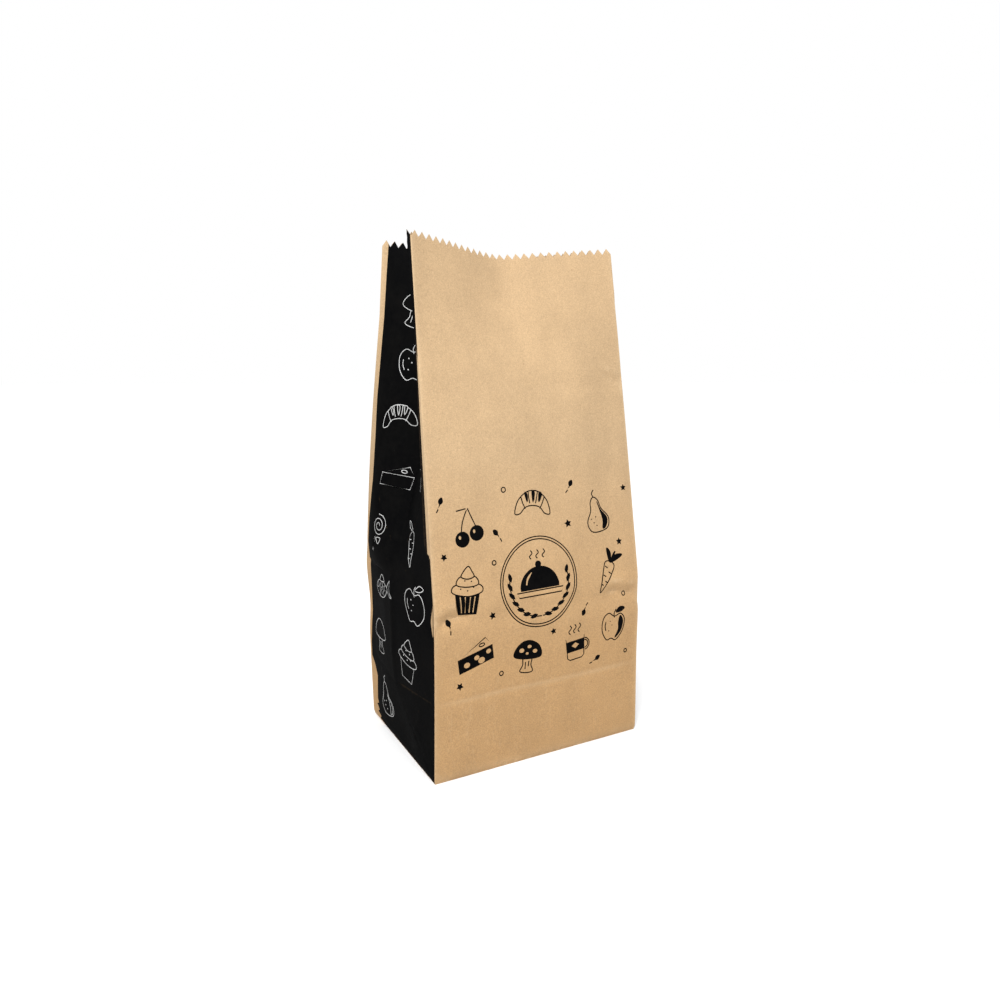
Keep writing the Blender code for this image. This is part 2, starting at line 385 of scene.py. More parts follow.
def mug():
    steam = [stroke(curve([(x, 8), (x - 1.3, 10.2), (x + 1.1, 12.4), (x, 14.6)])) for x in (-4, 0, 4)]
    handle = ellipse(7.4, -1.6, 4.6, 4.4, 80, -80, 12)
    return steam + [stroke(handle), stroke([(x * 0.72 + 2.1, y * 0.68 - 0.5) for x, y in handle]),
                    bare([(-8, 6), (8, 6), (7, -9), (5, -10.6), (-5, -10.6), (-7, -9)]),
                    solid([(-7.8, 2.6), (7.8, 2.6), (7.35, -4.6), (-7.35, -4.6)]),
                    bare(ellipse(0, 6, 8, 1.9, count=20)),
                    ("cut", [(-3.2, -0.6), (0, 1.4), (3.2, -0.6), (0, -2.8)])]


def fish():
    body = blob((-11, 0), (-6, 4.6), (1, 5.4), (7, 2), (9, 0), (7, -2), (1, -5), (-6, -4.4))
    tail = blob((8, 0), (13.4, 5), (12.4, 0), (13.4, -5))
    scales = [stroke(ellipse(x, y, 1.5, 1.6, 100, 260, 7)) for x, y in
              ((-0.4, 2), (-0.4, -1.6), (2.8, 0.2), (5.6, 0.4), (2.6, -2.8), (2.8, 3))]
    return [solid(tail), bare(body), solid(blob((-2, 5), (1.6, 8.4), (5, 4.4))),
            stroke(curve([(-5.6, 4.2), (-4.2, 0), (-5.6, -4)])),
            ("dot", ellipse(-8, 1.2, 0.7, 0.7, count=8))] + scales


def lemon():
    rind = ellipse(0, 0, 11, 11, 180, 360, 22)
    flesh = ellipse(0, -0.7, 9.3, 9.1, 180, 360, 20)
    segments = []
    for k in range(5):
        a = math.radians(196 + 34 * k)
        b = a + math.radians(20)
        segments.append(bare([(1.5 * math.cos((a + b) / 2), -1.6 + 1.5 * math.sin((a + b) / 2)),
                              (8.0 * math.cos(a), -1.3 + 7.6 * math.sin(a)),
                              (8.4 * math.cos((a + b) / 2), -1.3 + 8.1 * math.sin((a + b) / 2)),
                              (8.0 * math.cos(b), -1.3 + 7.6 * math.sin(b))]))
    return [solid(rind), ("cut", flesh)] + segments


def pear():
    body = blob((0, 9.6), (2.8, 7), (3.8, 2), (7.6, -4), (6, -9.6), (0, -11), (-6, -9.6), (-7.6, -4),
                (-3.8, 2), (-2.8, 7))
    shade = blob((2, 6.5), (3, 1.6), (6.4, -4.2), (4.8, -8.6), (2.2, -9.6), (3.4, -4))
    return [bare(body), solid(shade), stroke(curve([(0, 9.4), (-0.4, 12), (1.4, 13.6)]))] + dots(
        (-3.2, -5), (-1.2, -2), (-4.4, -2.6), (-1.6, -7))


def croissant():
    crescent = blob((-12, -5), (-10, 2), (-5, 6.6), (0, 7.8), (5, 6.6), (10, 2), (12, -5), (8.4, -5),
                    (5, -1.6), (0, -0.6), (-5, -1.6), (-8.4, -5))
    ridges = [stroke(curve([(x, y), (x * 0.84, y - 3.4), (x * 0.62, y - 6.6)])) for x, y in
              ((-8, 4.2), (-3.2, 7.2), (3.2, 7.2), (8, 4.2))]
    bands = [solid(blob((x, 7.4 - abs(x) * 0.16), (x + 1.8, 6.6 - abs(x) * 0.2),
                        (x * 0.8 + 0.8, 1.4))) for x in (-5.6, -0.6, 4.4)]
    return [bare(crescent)] + bands + ridges


def lollipop():
    swirl = [((0.8 + 0.42 * k / 2) * math.cos(k * 0.5), (0.8 + 0.42 * k / 2) * math.sin(k * 0.5))
             for k in range(30)]
    return [bare([(-0.6, -6), (0.6, -6), (0.6, -17), (-0.6, -17)]),
            bare(ellipse(0, 0, 7.6, 7.6, count=26)), stroke(swirl),
            solid(blob((-1, -8), (-5, -6.4), (-5, -10.4))), solid(blob((1, -8), (5, -6.4), (5, -10.4)))]


def sprig():
    """A twig with two small buds."""
    return [stroke(curve([(-0.6, -3), (0, -0.6), (0, 2.4)])),
            solid(blob((0, 1.6), (1.1, 3), (0, 4.8), (-1.1, 3))),
            bare(blob((0.1, -0.8), (2.1, -0.4), (3.6, 1.6), (1.2, 1.2)))]


def ring():
    return [("stroke", ellipse(0, 0, 1.3, 1.3, count=12) + [(1.3, 0.0)])]


def star():
    points = []
    for k in range(10):
        size = 2.1 if k % 2 == 0 else 0.9
        points.append((size * math.sin(k * math.pi / 5), size * math.cos(k * math.pi / 5)))
    return [solid(points)]


def badge():
    """A round badge: two rings, a covered dish, and a wreath of grains. It holds no lettering."""
    shapes = [("stroke", ellipse(0, 0, 24, 24, count=72) + [(24, 0)]),
              ("stroke", ellipse(0, 0, 22.6, 22.6, count=68) + [(22.6, 0)])]
    dome = ellipse(0, -3.4, 12, 11.4, 0, 180, 26)
    shapes += [solid(dome), ("cut", curve([(-8.6, -0.6), (-7.4, 3), (-4.4, 5.6), (-5, 4.2),
                                           (-7, 1.6), (-7.8, -0.8)])),
               solid(ellipse(0, 9.3, 1.6, 1.6, count=12)),
               bare([(-14.6, -4.4), (14.6, -4.4), (13.2, -7), (-13.2, -7)])]
    for k in range(7):
        for side in (-1, 1):
            a = math.radians(270 + side * (14 + 15 * k))
            x, y = 18.4 * math.cos(a), 18.4 * math.sin(a)
            turn = a + side * math.radians(62)
            grain = [(2.3 * u * math.cos(turn) - 0.95 * v * math.sin(turn) + x,
                      2.3 * u * math.sin(turn) + 0.95 * v * math.cos(turn) + y)
                     for u, v in ((-1, 0), (-0.3, 0.9), (0.5, 0.7), (1, 0), (0.5, -0.7), (-0.3, -0.9))]
            shapes.append(solid(grain))
    shapes += [stroke(ellipse(0, 0, 18.4, 18.4, 272 + side, 270 + side * 106, 30)) for side in (-1, 1)]
    shapes += [stroke(curve([(x, 12.4), (x - 0.9, 13.8), (x + 0.9, 15.4), (x, 17)]))
               for x in (-4, 0, 4)]
    return shapes


# what is drawn, across and up the panel, its size and its turn in degrees
FRONT_PRINT = (
    (badge, 63, 98, 1.0, 1.5),
    (cherries, 22, 130, 0.90, 6), (croissant, 62, 139, 0.95, -4), (pear, 104, 131, 0.95, 10),
    (cupcake, 19, 98, 1.0, -5), (carrot, 108, 97, 0.95, -24),
    (cheese, 23, 66, 0.95, 8), (mushroom, 55, 59, 0.85, -6), (mug, 86, 60, 0.80, 5),
    (apple, 112, 66, 0.85, -8),
    (sprig, 40, 124, 1.0, 40), (ring, 44, 148, 1.0, 0), (star, 84, 127, 1.0, 10),
    (sprig, 86, 146, 1.0, -30), (ring, 36, 111, 0.9, 0), (star, 33, 84, 0.9, 20),
    (sprig, 93, 80, 1.0, 150), (star, 118, 114, 0.9, 0), (ring, 121, 84, 0.9, 0),
    (sprig, 8, 81, 1.0, 20), (star, 7, 117, 0.8, 30), (ring, 39, 52, 0.9, 0),
    (star, 71, 70, 0.8, 15), (sprig, 99, 48, 1.0, -60), (star, 14, 50, 0.9, 40),
    (ring, 122, 50, 0.8, 0), (sprig, 6, 142, 1.0, -20), (star, 124, 144, 0.8, 0),
)
GUSSET_PRINT = (
    (pear, 27, 22, 0.95, 12), (lemon, 62, 22, 0.95, -14),
    (mushroom, 22, 58, 0.95, 6), (cupcake, 58, 56, 0.98, -8),
    (fish, 30, 88, 0.95, 14), (apple, 66, 88, 0.95, -6),
    (lollipop, 24, 124, 0.95, -14), (carrot, 57, 119, 0.98, 16),
    (cheese, 31, 154, 0.92, -8), (cherries, 66, 150, 0.95, 8),
    (croissant, 26, 186, 0.92, 10), (mug, 63, 181, 0.92, -8),
    (apple, 29, 216, 0.95, 8), (lemon, 66, 214, 0.95, 10),
    (mushroom, 25, 246, 0.92, -12), (pear, 64, 245, 0.95, 6),
)


def placed(points, x, y, size, turn):
    cos, sin = math.cos(math.radians(turn)) * size, math.sin(math.radians(turn)) * size
    return [(x + cos * px - sin * py, y + sin * px + cos * py) for px, py in points]


def band(points, width):
    """A drawn line's outline."""
    points = np.array(points)
    along = np.gradient(points, axis=0)
    along /= np.maximum(np.linalg.norm(along, axis=1, keepdims=True), 1e-9)
    side = np.stack([-along[:, 1], along[:, 0]], axis=-1) * width / 2
    return [tuple(point) for point in np.vstack([points + side, (points - side)[::-1]])]


def ring_loops(points, width):
    """The two edges of a closed drawn line: for a loop that runs clockwise, outer then inner."""
    points = np.array(points)
    along = np.roll(points, -1, axis=0) - np.roll(points, 1, axis=0)
    along /= np.maximum(np.linalg.norm(along, axis=1, keepdims=True), 1e-9)
    side = np.stack([-along[:, 1], along[:, 0]], axis=-1) * width / 2
    return [[tuple(point) for point in points + side], [tuple(point) for point in points - side]]


def drawn(layout, dark_field):
    """The layout as a painter's list of (colour, loops), for bare kraft or for a black field."""
    line = WHITE if dark_field else BLACK
    field = BLACK if dark_field else KRAFT
    painted = []
    for motif, x, y, size, turn in layout:
        for kind, points in motif():
            outline = placed(points, x, y, size, turn)
            if kind == "stroke":
                painted.append((line, [band(outline, LINE[line])]))
            elif kind == "dot":
                painted.append((line, [outline]))
            elif kind == "cut":
                painted.append((field, [outline]))
            else:
                fill = BLACK if kind == "solid" else field
                outer, inner = ring_loops(outline, LINE[line])
                painted.append((line, [outer, inner]))
                painted.append((fill, [inner]))
    return painted


# ================================================================================================
# Creases pressed into each panel: points in millimetres, depth outward, half width
# ================================================================================================
FRONT_CREASES = (
    (((0, 42), (44, 42.3), (90, 41.7), (130, 42)), -0.34, 1.5),
    (((0, 82.5), (7, 85.5), (21, 87.5)), -1.30, 3.6),
    (((0, 90), (9, 92), (24, 94)), 0.70, 4.4),
    (((130, 82), (124, 84.5), (108, 86.5)), -1.20, 3.6),
    (((130, 89), (121, 91.5), (108, 93)), 0.60, 4.2),
    (((130, 203), (125, 205), (117, 208)), -0.75, 2.4),
    (((130, 209), (124, 211), (116, 214)), 0.40, 3.2),
    (((0.5, 2.2), (40, 2.5), (90, 2.1), (129.5, 2.4)), 0.14, 1.2),
    (((0.5, 7.0), (3.6, 3.4), (7.5, 0.5)), -0.22, 1.5),
    (((66, 281), (67, 240), (70, 205), (76, 180)), -0.70, 15.0),
    (((28, 96), (60, 101), (100, 97)), -0.25, 7.0),
    (((8, 214), (40, 205), (78, 222)), -0.22, 9.0),
    (((18, 24), (20, 33), (21, 42)), -0.10, 1.5),
)
GUSSET_CREASES = (
    (((42, 38.5), (62, 40.5), (84, 42)), -0.40, 1.5),
    (((42, 38.5), (20, 41), (0, 42)), -0.22, 1.5),
    (((0, 0), (21, 19), (42, 38.5)), -0.22, 1.4),
    (((84, 0), (63, 19), (42, 38.5)), -0.22, 1.4),
    (((42, 110), (58, 132), (76, 166)), -0.55, 2.4),
    (((42, 110), (28, 128), (12, 152)), -0.45, 2.4),
    (((42, 110), (60, 104), (78, 90)), 0.40, 2.2),
    (((42, 110), (25, 101), (6, 96)), 0.35, 2.2),
    (((42, 38.5), (43, 74), (42, 110)), 0.35, 2.2),
    (((12, 152), (20, 180), (16, 206)), -0.25, 2.0),
    (((60, 14), (67, 26), (70, 36)), 0.18, 1.3),
    (((76, 20), (80, 8), (82, 2)), 0.15, 1.2),
)
BACK_CREASES = (
    (((0, 44), (60, 43), (130, 44)), -0.20, 1.5),
    (((0, 88), (9, 91), (20, 92)), -0.35, 2.2),
    (((130, 95), (122, 97), (112, 97)), -0.35, 2.2),
    (((44, 1), (44, 277)), 0.34, 0.8),
    (((56, 1), (56, 277)), 0.16, 0.9),
    (((30, 150), (60, 158), (84, 154)), -0.14, 2.4),
)


SHARP_REACH = 2.0          # creases narrower than this are cut into the mesh
SOFT_REACH = 5.0           # dents wider than this aren't rubbed


# the sheet's own unevenness: length across and up, which pattern, height, all in millimetres
WAVES = ((30, 75, 0, 0.95), (13, 17, 7, 0.22), (5, 6, 13, 0.045))
WAVES_REACH = 4.0          # and they die out this close to a fold or the foot


def mirrored(creases, width):
    return tuple((tuple((width - x, y) for x, y in points), depth, reach)
                 for points, depth, reach in creases)


def to_line(x, y, points):
    """The nearest distance to a bent line, and how far along it that is, from 0 to 1."""
    points = np.array(points, float)
    lengths = np.linalg.norm(np.diff(points, axis=0), axis=1)
    total = lengths.sum()
    best = np.full(len(x), 1e9)
    share = np.zeros(len(x))
    before = 0.0
    for start, end, length in zip(points, points[1:], lengths):
        along = (end - start) / length
        s = np.clip((x - start[0]) * along[0] + (y - start[1]) * along[1], 0, length)
        gap = np.hypot(x - start[0] - s * along[0], y - start[1] - s * along[1])
        nearer = gap < best
        best = np.where(nearer, gap, best)
        share = np.where(nearer, (before + s) / total, share)
        before += length
    return best, share


def relief(x, y, width, creases, seed):
    """How far the paper stands out of its plain form, in millimetres, and how worn it is."""
    out = np.zeros(len(x))
    wear = np.zeros(len(x))
    for points, depth, reach in creases:
        gap, share = to_line(x, y, points)
        fading = np.clip(8 * share, 0.35, 1) * np.clip(8 * (1 - share), 0.35, 1)
        out += depth * fading * np.clip(1 - gap / reach, 0, 1)
        if reach < SOFT_REACH:
            rubbed = fading * min(0.7, 1.6 * abs(depth))
            wear = np.maximum(wear, rubbed * np.clip(1 - gap / 0.8, 0, 1))
    for i, (px, py) in enumerate(zip(x, y)):
        out[i] += sum(rise * noise.noise(Vector((px / across, py / up, seed + pattern)))
                      for across, up, pattern, rise in WAVES)
    edge = np.minimum(np.minimum(x, width - x), y) / WAVES_REACH
    out *= ease(edge, 0, 1)
    fold = np.exp(-np.minimum(x, width - x) / 0.9)
    foot = np.exp(-np.maximum(y - 0.6, 0) / 1.9)
    lip = np.clip(1 - (SHEET_HEIGHT / MM - y) / 4.2, 0, 1) * 0.5
    return out, np.maximum(np.maximum(wear, 0.8 * fold), np.maximum(0.9 * foot, lip))


# ================================================================================================
# From flat panels to the standing sheet
# ================================================================================================

def pinked_top(x, width, teeth):
    """The height of the pinked edge above a place across the panel."""
    phase = (x / width * teeth) % 1.0
    tip = SHEET_HEIGHT / MM
    return tip - TOOTH_DEPTH / MM * np.abs(2 * phase - 1)


def panel_outline(width, teeth):
    """The panel's own outline: foot, right fold, pinked top, left fold."""
    valley = (SHEET_HEIGHT - TOOTH_DEPTH) / MM
    count = round(width / GRID)
    foot = [(width * i / count, 0.0) for i in range(count)]
    right = [(width, valley * j / SIDE_ROWS) for j in range(SIDE_ROWS)]
    top = []
    for tooth in reversed(range(teeth)):
        top.append((width * (tooth + 1) / teeth, valley))
        top.append((width * (tooth + 0.5) / teeth, SHEET_HEIGHT / MM))
    left = [(0.0, valley * j / SIDE_ROWS) for j in range(SIDE_ROWS, 0, -1)]
    return foot + right + top + left


def resampled(points, spacing):
    """Points along a line, no further apart than the spacing."""
    dense = [points[0]]
    for start, end in zip(points, points[1:]):
        count = max(1, math.ceil(math.dist(start, end) / spacing))
        dense += [(start[0] + (end[0] - start[0]) * k / count,
                   start[1] + (end[1] - start[1]) * k / count) for k in range(1, count + 1)]
    return dense


def inside_loop(x, y, loop):
    """True for the places that a closed outline goes round."""
    turns = np.zeros(len(x), int)
    for (ax, ay), (bx, by) in zip(loop, loop[1:] + loop[:1]):
        left = (bx - ax) * (y - ay) - (x - ax) * (by - ay)
        turns += ((ay <= y) & (by > y) & (left > 0)).astype(int)
        turns -= ((ay > y) & (by <= y) & (left < 0)).astype(int)
    return turns != 0


def coloured(x, y, painted):
    """The colour at each place: bare kraft, then each painted shape over what is there."""
    colour = np.full(len(x), KRAFT)
    for ink, loops in painted:
        points = np.array([point for loop in loops for point in loop])
        low, high = points.min(0), points.max(0)
        near = np.nonzero((x > low[0]) & (x < high[0]) & (y > low[1]) & (y < high[1]))[0]
        if len(near):
            hit = np.zeros(len(near), int)
            for loop in loops:
                hit += inside_loop(x[near], y[near], loop)
            colour[near[hit % 2 == 1]] = ink
    return colour


def flat_panel(width, teeth, painted, creases):
    """A flat panel as points, triangles and the colour of each triangle."""
    points = panel_outline(width, teeth)
    edges = [(i, (i + 1) % len(points)) for i in range(len(points))]

    def add_line(line, closed):
        first = len(points)
        points.extend(line)
        edges.extend((i, i + 1) for i in range(first, len(points) - 1))
        if closed:
            edges.append((len(points) - 1, first))

    for _, loops in painted:
        for loop in loops:
            add_line(loop, True)
    for line, _, reach in creases:
        if reach < SHARP_REACH:
            inset = [(min(max(x, CREASE_INSET), width - CREASE_INSET), max(y, CREASE_INSET))
                     for x, y in line]
            add_line(resampled(inset, GRID), False)

    tree = kdtree.KDTree(len(points))
    for i, (x, y) in enumerate(points):
        tree.insert((x, y, 0), i)
    tree.balance()
    for j in range(1, int(SHEET_HEIGHT / MM / GRID) + 1):
        for i in range(int(width / GRID) + 1):
            x = (i + 0.5 * (j % 2)) * GRID
            y = j * GRID
            if x < width - CLEAR_OF_LINES and x > CLEAR_OF_LINES and y < pinked_top(x, width, teeth) - 0.5:
                if tree.find((x, y, 0))[2] > CLEAR_OF_LINES:
                    points.append((x, y))

    flat = delaunay_2d_cdt([Vector(point) for point in points], edges, [], 0, 1e-4)
    verts = np.array([(v.x, v.y) for v in flat[0]])
    tris = np.array([face for face in flat[2] if len(face) == 3])
    centre = verts[tris].mean(1)
    keep = (centre[:, 1] < pinked_top(centre[:, 0], width, teeth)) & (centre[:, 1] > 0)
    keep &= (centre[:, 0] > 0) & (centre[:, 0] < width)
    tris, centre = tris[keep], centre[keep]
    return verts, tris, coloured(centre[:, 0], centre[:, 1], painted)


def laid(verts, width, form, creases, seed):
    """Lays flat points onto the standing form, with its relief; also gives their wear."""
    x, y = verts[:, 0], verts[:, 1]
    t, height = np.clip(x / width, 0, 1), np.clip(y * MM, 0, SHEET_HEIGHT)
    step_t, step_h = 0.004, 0.0006
    across = form(np.clip(t + step_t, 0, 1), height) - form(np.clip(t - step_t, 0, 1), height)
    up = (form(t, np.clip(height + step_h, 0, SHEET_HEIGHT))
          - form(t, np.clip(height - step_h, 0, SHEET_HEIGHT)))
    normal = np.cross(across, up)
    normal /= np.linalg.norm(normal, axis=1, keepdims=True)
    out, wear = relief(x, y, width, creases, seed)
    place = form(t, height) + normal * column(out * MM)
    turn = np.clip(1 - height / FOOT_TURN, 0, 1) ** 2
    place[:, :2] *= column(1 - FOOT_TUCK * turn)
    return place, wear


def gusset_field(mirror):
    """The black field of a gusset with its bare margins and its motifs."""
    top = BARE_EDGE[0][1]
    field = [(84 - FOLD_MARGIN, 0), (84 - FOLD_MARGIN, top)] + list(BARE_EDGE) + [(BARE_EDGE[-1][0], 0)]
    painted = [(BLACK, [field])] + drawn(GUSSET_PRINT, True)
    if mirror:
        painted = [(ink, [[(84 - x, y) for x, y in loop] for loop in loops]) for ink, loops in painted]
    return painted


def clipped(painted, width):
    """Keeps every outline inside its panel, so that its folds stay whole."""
    kept = []
    for ink, loops in painted:
        kept.append((ink, [[(min(max(x, CLEAR_OF_EDGE), width - CLEAR_OF_EDGE), max(y, CLEAR_OF_FOOT))
                            for x, y in loop] for loop in loops]))
    return kept


def add_mesh(name, verts, faces):
    mesh = bpy.data.meshes.new(name)
    mesh.from_pydata([tuple(v) for v in verts], [], [tuple(int(i) for i in f) for f in faces])
    thing = bpy.data.objects.new(name, mesh)
    bpy.context.scene.collection.objects.link(thing)
    return thing


def ready(piece):
    """Makes the piece the only one selected, and active."""
    bpy.ops.object.select_all(action="DESELECT")
    piece.select_set(True)
    bpy.context.view_layer.objects.active = piece


def applied(piece, modifier):
    ready(piece)
    bpy.ops.object.modifier_apply(modifier=modifier.name)


def bag_panels():
    """Each panel: width, teeth, print, creases, form."""
    wide, deep = PANEL_WIDTH / MM, GUSSET_WIDTH / MM
    front = panel_form(("front_left", "front_middle", "front_right"), MOUTH_DENT_PLACE, MOUTH_KINK)
    back = panel_form(("back_right", "back_middle", "back_left"), 0.5, 0.0)
    right = gusset_form(("front_right", "gusset_right", "back_right"), True, 0.0)
    left = gusset_form(("back_left", "gusset_left", "front_left"), False, 1.0)
    return (
        (wide, PANEL_TEETH, drawn(FRONT_PRINT, False), FRONT_CREASES, front),
        (deep, GUSSET_TEETH, gusset_field(True), mirrored(GUSSET_CREASES, deep), right),
        (wide, PANEL_TEETH, [], BACK_CREASES, back),
        (deep, GUSSET_TEETH, gusset_field(False), GUSSET_CREASES, left),
    )


def base_face(rim):
    """The folded bottom inside its rim, as triangles with the colour of each.

    The triangles are found with the rim's straight sides bowed a little, so none of them is a sliver.
    """
    half_w, half_d = PANEL_WIDTH / 2 / MM, GUSSET_WIDTH / 2 / MM
    loop = sorted({(v.x / MM, v.y / MM) for v in rim}, key=lambda point: math.atan2(point[1], point[0]))
    edges = [(i, (i + 1) % len(loop)) for i in range(len(loop))]
    corners = list(loop)
    for side_x in (-1, 1):
        for side_y in (-1, 1):
            tip = (side_x * (half_w - half_d), 0.0)
            corner = (side_x * (half_w - BOTTOM_RIM), side_y * (half_d - BOTTOM_RIM))
            diagonal = resampled([tip, corner], BOTTOM_GRID)
            edges += [(i, i + 1) for i in range(len(corners), len(corners) + len(diagonal) - 1)]
            corners += diagonal
    for i in range(-20, 21):
        for j in range(-13, 14):
            x, y = i * 3.05, j * 3.0
            if abs(abs(x) - abs(y) - (half_w - half_d)) > CLEAR_OF_EARS:
                corners.append((x, y))
    bulged = [Vector((x * (1 + SIDE_BOW * (1 - (y / half_d) ** 2)),
                      y * (1 + SIDE_BOW * (1 - (x / half_w) ** 2)))) for x, y in corners]
    flat = delaunay_2d_cdt(bulged, edges, [], 0, 1e-6)
    verts = np.array([corners[first] for first, *_ in flat[3]])
    tris = np.array([face for face in flat[2] if len(face) == 3])
    centre = np.array([tuple(v) for v in flat[0]])[tris].mean(1)
    keep = inside_loop(centre[:, 0], centre[:, 1], [tuple(v) for v in bulged[:len(loop)]])
    tris, centre = tris[keep], centre[keep]
    edge = np.minimum(half_w - np.abs(verts[:, 0]), half_d - np.abs(verts[:, 1]))
    place = np.column_stack([verts * MM, BASE_LIFT * ease(edge, 1.7, 3.2)])
    in_ear = np.abs(centre[:, 0]) > half_w - half_d + np.abs(centre[:, 1])
    return place, tris[:, ::-1], list(np.where(in_ear, BLACK, KRAFT))


def paper_sheet():
    """The whole folded sheet with its thickness."""
    verts, faces, inks, wears = [], [], [], []
    for seed, (width, teeth, painted, creases, form) in enumerate(bag_panels()):
        painted = clipped(painted, width)
        flat, tris, colours = flat_panel(width, teeth, painted, creases)
        place, wear = laid(flat, width, form, creases, 20.0 * seed)
        faces += [tuple(t + len(verts)) for t in tris]
        verts += list(place)
        inks += list(colours)
        wears += list(wear)
    rim = [Vector(place) for place in verts if place[2] < 1e-6]
    place, tris, ears = base_face(rim)
    faces += [tuple(t + len(verts)) for t in tris]
    verts += list(place)
    inks += ears
    wears += [0.15] * len(place)

    sheet = add_mesh("paper_bag_sheet", verts, faces)
    sheet.data.polygons.foreach_set("material_index", np.array(inks, dtype=np.int32))
    worn = sheet.data.attributes.new("wear", "FLOAT", "POINT")
    worn.data.foreach_set("value", np.array(wears, dtype=np.float32))
    bm = bmesh.new()
    bm.from_mesh(sheet.data)
    seams = {v for e in bm.edges if len(e.link_faces) == 1 for v in e.verts}
    seams = sorted(seams, key=lambda v: v.index)
    bmesh.ops.remove_doubles(bm, verts=seams, dist=SEAM_GAP)
    bm.to_mesh(sheet.data)
    bm.free()
    for name in ("kraft", "black", "white", "inside"):
        sheet.data.materials.append(MATERIALS[name])
    thickness = sheet.modifiers.new("paper", "SOLIDIFY")
    thickness.thickness = PAPER
    thickness.offset = -1
    thickness.material_offset = INSIDE
    thickness.material_offset_rim = INSIDE
    applied(sheet, thickness)
    ready(sheet)
    bpy.ops.object.shade_smooth_by_angle(angle=math.radians(24))
    return sheet


def bottom_flap(name, front, level):
    """A flap of the folded bottom with its pinked free edge, one paper thick."""
    half_w, half_d = (side / 2 / MM - BOTTOM_RIM for side in (PANEL_WIDTH, GUSSET_WIDTH))
    middle = half_w - half_d - 1.0
    teeth = 10
    overlap, depth = 8.0, TOOTH_DEPTH / MM
    outline = [(-half_w + 1, -half_d), (half_w - 1, -half_d), (middle, 0.0)]
    for tooth in range(teeth):
        x = middle * (1 - 2 * tooth / teeth)
        outline += [(x, overlap - depth), (x - middle / teeth, overlap)]
    outline += [(-middle, overlap - depth), (-middle, 0.0)]
    side = 1 if front else -1
    bm = bmesh.new()
    ring_verts = [bm.verts.new((x * MM * side, y * MM * side, level)) for x, y in outline]
    bm.faces.new(list(reversed(ring_verts)))
    bmesh.ops.triangulate(bm, faces=bm.faces)
    mesh = bpy.data.meshes.new(name)
    bm.to_mesh(mesh)
    bm.free()
    flap = bpy.data.objects.new(name, mesh)
    bpy.context.scene.collection.objects.link(flap)
    flap.data.materials.append(MATERIALS["kraft"])
    thickness = flap.modifiers.new("paper", "SOLIDIFY")
    thickness.thickness = PAPER * 0.9
    thickness.offset = -1
    applied(flap, thickness)
    return flap


# ================================================================================================
# Materials
# ================================================================================================

DRAWN_OUT = (1, 1, 0.45)   # paper is made in one direction, so its patches are longer that way


def new_group(name, inputs, outputs):
    """An empty shader node group with its sockets; returns it with its two end nodes."""
    group = bpy.data.node_groups.new(name, "ShaderNodeTree")
    for label, kind, value in inputs:
        socket = group.interface.new_socket(label, in_out="INPUT", socket_type=kind)
        socket.default_value = value
    for label, kind in outputs:
        group.interface.new_socket(label, in_out="OUTPUT", socket_type=kind)
    return group, group.nodes.new("NodeGroupInput"), group.nodes.new("NodeGroupOutput")


def add_noise(tree, vector, scale, detail, rough):
    texture = tree.nodes.new("ShaderNodeTexNoise")
    texture.inputs["Scale"].default_value = scale
    texture.inputs["Detail"].default_value = detail
    texture.inputs["Roughness"].default_value = rough
    tree.links.new(vector, texture.inputs["Vector"])
    return texture.outputs["Fac"]


def ramp(tree, value, low, high, to_low=0.0, to_high=1.0):
    """The value's stretch from low to high, spread from to_low to to_high."""
    node = tree.nodes.new("ShaderNodeMapRange")
    node.inputs["From Min"].default_value = low
    node.inputs["From Max"].default_value = high
    node.inputs["To Min"].default_value = to_low
    node.inputs["To Max"].default_value = to_high
    tree.links.new(value, node.inputs["Value"])
    return node.outputs["Result"]


def math_node(tree, operation, first, second):
    node = tree.nodes.new("ShaderNodeMath")
    node.operation = operation
    for socket, value in zip(node.inputs, (first, second)):
        if isinstance(value, (int, float)):
            socket.default_value = value
        else:
            tree.links.new(value, socket)
    return node.outputs["Value"]


def mix_colour(tree, factor, first, second, blend="MIX"):
    node = tree.nodes.new("ShaderNodeMix")
    node.data_type = "RGBA"
    node.blend_type = blend
    for socket, value in ((node.inputs["Factor"], factor), (node.inputs["A"], first),
                          (node.inputs["B"], second)):
        if isinstance(value, (int, float, tuple)):
            socket.default_value = value
        else:
            tree.links.new(value, socket)
    return node.outputs["Result"]


def scaled_place(tree, scale):
    """Object coordinates stretched by the scale."""
    coordinates = tree.nodes.new("ShaderNodeTexCoord")
    mapping = tree.nodes.new("ShaderNodeMapping")
    mapping.inputs["Scale"].default_value = scale
    tree.links.new(coordinates.outputs["Object"], mapping.inputs["Vector"])
    return mapping.outputs["Vector"]


